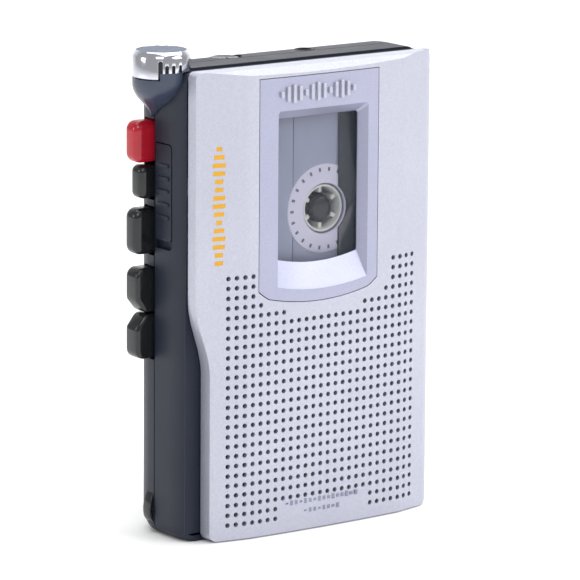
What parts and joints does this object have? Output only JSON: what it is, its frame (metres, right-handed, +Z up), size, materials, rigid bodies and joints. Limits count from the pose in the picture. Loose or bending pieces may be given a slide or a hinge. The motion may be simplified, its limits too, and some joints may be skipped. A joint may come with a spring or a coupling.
{
  "type": "compact cassette dictation recorder",
  "caption": "Hand-held cassette dictation recorder: dark case, silver lid with window and speaker grille, side keys and a corner microphone",
  "frame": {"origin": "centre of the flat underside of the case", "axes": "+X to the right seen from the lid side, +Y to the back, +Z up; the lid faces -Y"},
  "size_m": [0.0795, 0.0306, 0.1184],
  "materials": {
    "shell": "fine moulded satin, dark blue grey",
    "silver_paint": "fine metallic silver paint on moulded plastic",
    "clear_window": "polished clear moulding",
    "chrome": "bright plating",
    "mesh": "woven wire mesh",
    "steel": "plain pressed steel",
    "brass": "turned",
    "black_plastic": "polished black moulding",
    "pause_plastic": "satin moulding in the case's colour",
    "record_red": "polished red moulding",
    "cassette_plastic": "smoked grey moulding",
    "white_plastic": "moulded acetal",
    "tape": "wound magnetic tape",
    "rubber": "moulded rubber",
    "paper_cone": "pressed film",
    "board": "laminate with solder mask",
    "cell_jacket": "printed metal jacket"
  },
  "bodies": {
    "root": {"front_case": "shell", "rear_case": "shell", "case_screw_1": "steel", "case_screw_2": "steel", "case_screw_3": "steel", "case_screw_4": "steel", "deck_plate": "steel", "cassette_front_half": "cassette_plastic", "cassette_rear_half": "cassette_plastic", "mic_pod": "shell", "mic_housing": "chrome", "mic_grille": "mesh", "earphone_jack": "steel", "lower_hinge_pin": "steel", "upper_hinge_pin": "steel", "capstan_bush": "brass", "drive_belt": "rubber", "key_spring": "steel", "tape_run": "tape", "upper_tape_roller": "white_plastic", "lower_tape_roller": "white_plastic", "mic_cushion": "rubber", "mic_capsule": "steel", "circuit_board": "board", "volume_control": "black_plastic", "lower_cell_spring": "steel", "upper_cell_spring": "steel", "battery_holder": "black_plastic", "motor": "steel", "lower_cell": "cell_jacket", "upper_cell": "cell_jacket"},
    "lid": {"lid_shell": "silver_paint", "window_bezel": "silver_paint", "window_pane": "clear_window", "speaker_frame": "steel", "speaker_cone": "paper_cone", "cassette_spring": "steel"},
    "battery_door": {"battery_door": "shell"},
    "supply_reel": {"supply_hub": "white_plastic", "supply_tape_pack": "tape", "supply_spindle": "black_plastic"},
    "takeup_reel": {"takeup_hub": "white_plastic", "takeup_tape_pack": "tape", "takeup_spindle": "black_plastic"},
    "flywheel": {"flywheel": "brass", "capstan_shaft": "steel"},
    "idler_gear": {"idler_gear": "white_plastic"},
    "motor_rotor": {"motor_pulley": "brass"},
    "head_carriage": {"head_plate": "steel", "record_play_head": "chrome", "erase_head": "chrome", "pinch_arm": "steel"},
    "pinch_roller": {"pinch_roller": "rubber"},
    "record_key": {"record_key": "record_red"},
    "stop_key": {"stop_key": "black_plastic"},
    "play_key": {"play_key": "black_plastic"},
    "rewind_key": {"rewind_key": "black_plastic"},
    "forward_key": {"forward_key": "black_plastic"},
    "pause_slider": {"pause_slider": "pause_plastic"},
    "volume_wheel": {"volume_wheel": "black_plastic"}
  },
  "joints": [
    {"name": "lid_hinge", "type": "hinge", "parent": "root", "child": "lid", "pos_m": [0.0349, -0.0096, 0], "axis": [0, 0, 1], "range_deg": [0, 95]},
    {"name": "battery_door_hinge", "type": "hinge", "parent": "root", "child": "battery_door", "pos_m": [0, 0.0147, 0.04475], "axis": [-1, 0, 0], "range_deg": [0, 90]},
    {"name": "flywheel_spin", "type": "hinge", "parent": "root", "child": "flywheel", "pos_m": [-0.0241, 0, 0.0293], "axis": [0, 1, 0], "continuous": true},
    {"name": "motor_spin", "type": "hinge", "parent": "root", "child": "motor_rotor", "pos_m": [0.0105, 0, 0.0175], "axis": [0, 1, 0], "continuous": true},
    {"name": "idler_gear_spin", "type": "hinge", "parent": "root", "child": "idler_gear", "pos_m": [-0.00922, 0, 0.02737], "axis": [0, 1, 0], "continuous": true},
    {"name": "supply_reel_spin", "type": "hinge", "parent": "root", "child": "supply_reel", "pos_m": [0.0053, 0, 0.07705], "axis": [0, 1, 0], "continuous": true},
    {"name": "takeup_reel_spin", "type": "hinge", "parent": "root", "child": "takeup_reel", "pos_m": [0.0053, 0, 0.03455], "axis": [0, 1, 0], "continuous": true},
    {"name": "head_plate_slide", "type": "slide", "parent": "root", "child": "head_carriage", "axis": [1, 0, 0], "range_m": [0, 0.004]},
    {"name": "pinch_roller_spin", "type": "hinge", "parent": "head_carriage", "child": "pinch_roller", "pos_m": [-0.032, 0, 0.0293], "axis": [0, 1, 0], "continuous": true},
    {"name": "record_key_press", "type": "slide", "parent": "root", "child": "record_key", "axis": [1, 0, 0], "range_m": [0, 0.003], "stiffness_N_per_m": 400, "springref_m": -0.0005},
    {"name": "stop_key_press", "type": "slide", "parent": "root", "child": "stop_key", "axis": [1, 0, 0], "range_m": [0, 0.003], "stiffness_N_per_m": 400, "springref_m": -0.0005},
    {"name": "play_key_press", "type": "slide", "parent": "root", "child": "play_key", "axis": [1, 0, 0], "range_m": [0, 0.003], "stiffness_N_per_m": 400, "springref_m": -0.0005},
    {"name": "rewind_key_press", "type": "slide", "parent": "root", "child": "rewind_key", "axis": [1, 0, 0], "range_m": [0, 0.003], "stiffness_N_per_m": 400, "springref_m": -0.0005},
    {"name": "forward_key_press", "type": "slide", "parent": "root", "child": "forward_key", "axis": [1, 0, 0], "range_m": [0, 0.003], "stiffness_N_per_m": 400, "springref_m": -0.0005},
    {"name": "pause_slide", "type": "slide", "parent": "root", "child": "pause_slider", "axis": [0, 0, -1], "range_m": [0, 0.0018]},
    {"name": "volume_wheel_turn", "type": "hinge", "parent": "root", "child": "volume_wheel", "pos_m": [-0.0128, 0.0069, 0.1105], "axis": [0, 0, 1], "range_deg": [-140, 140]}
  ],
  "couplings": [
    {"joint": "flywheel_spin", "follows": "takeup_reel_spin", "ratio": 1.2857},
    {"joint": "motor_spin", "follows": "takeup_reel_spin", "ratio": 4.6443},
    {"joint": "idler_gear_spin", "follows": "takeup_reel_spin", "ratio": -0.5},
    {"joint": "supply_reel_spin", "follows": "takeup_reel_spin", "ratio": 1.8077},
    {"joint": "pinch_roller_spin", "follows": "takeup_reel_spin", "ratio": -0.55901},
    {"joint": "head_plate_slide", "follows": "play_key_press", "ratio": 1.3333}
  ]
}
